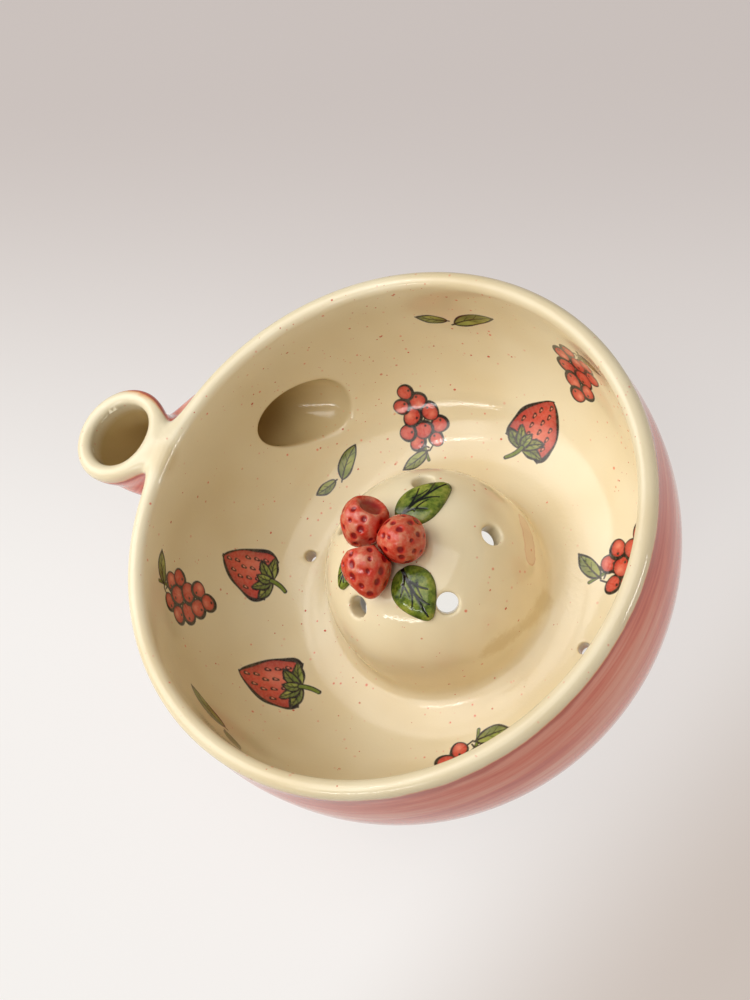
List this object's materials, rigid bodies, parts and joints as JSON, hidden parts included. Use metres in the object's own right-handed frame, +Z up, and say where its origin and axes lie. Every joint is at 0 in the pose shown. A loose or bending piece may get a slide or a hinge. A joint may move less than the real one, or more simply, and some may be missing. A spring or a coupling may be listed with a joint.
{
  "type": "berry colander bowl",
  "caption": "Glazed ceramic colander bowl with a pierced hollow dome rising from its floor, sculpted berries and leaves on the dome, and a curved pouring spout beside the rim.",
  "frame": {"origin": "centre of the foot ring, on the surface that the bowl stands on", "axes": "+Z up, +X out through the spout mouth, +Y to the left of the spout seen from the middle of the bowl"},
  "size_m": [0.2307, 0.1926, 0.0858],
  "materials": {
    "cream_glaze": "glossy cream glaze with fine red speckles and painted berries inside, a streaky rose wash outside",
    "rose_wash": "glossy streaky rose-red wash",
    "berry_glaze": "glossy mottled berry red with dark seed pits",
    "leaf_glaze": "glossy mottled green with dark veins"
  },
  "bodies": {
    "root": {"bowl_body": "cream_glaze", "foot_ring": "cream_glaze", "centre_dome": "cream_glaze", "spout_tube": "rose_wash", "rim_web": "cream_glaze", "berry_left": "berry_glaze", "berry_right": "berry_glaze", "berry_front": "berry_glaze", "leaf_upper": "leaf_glaze", "leaf_lower": "leaf_glaze", "leaf_left": "leaf_glaze"}
  },
  "joints": []
}
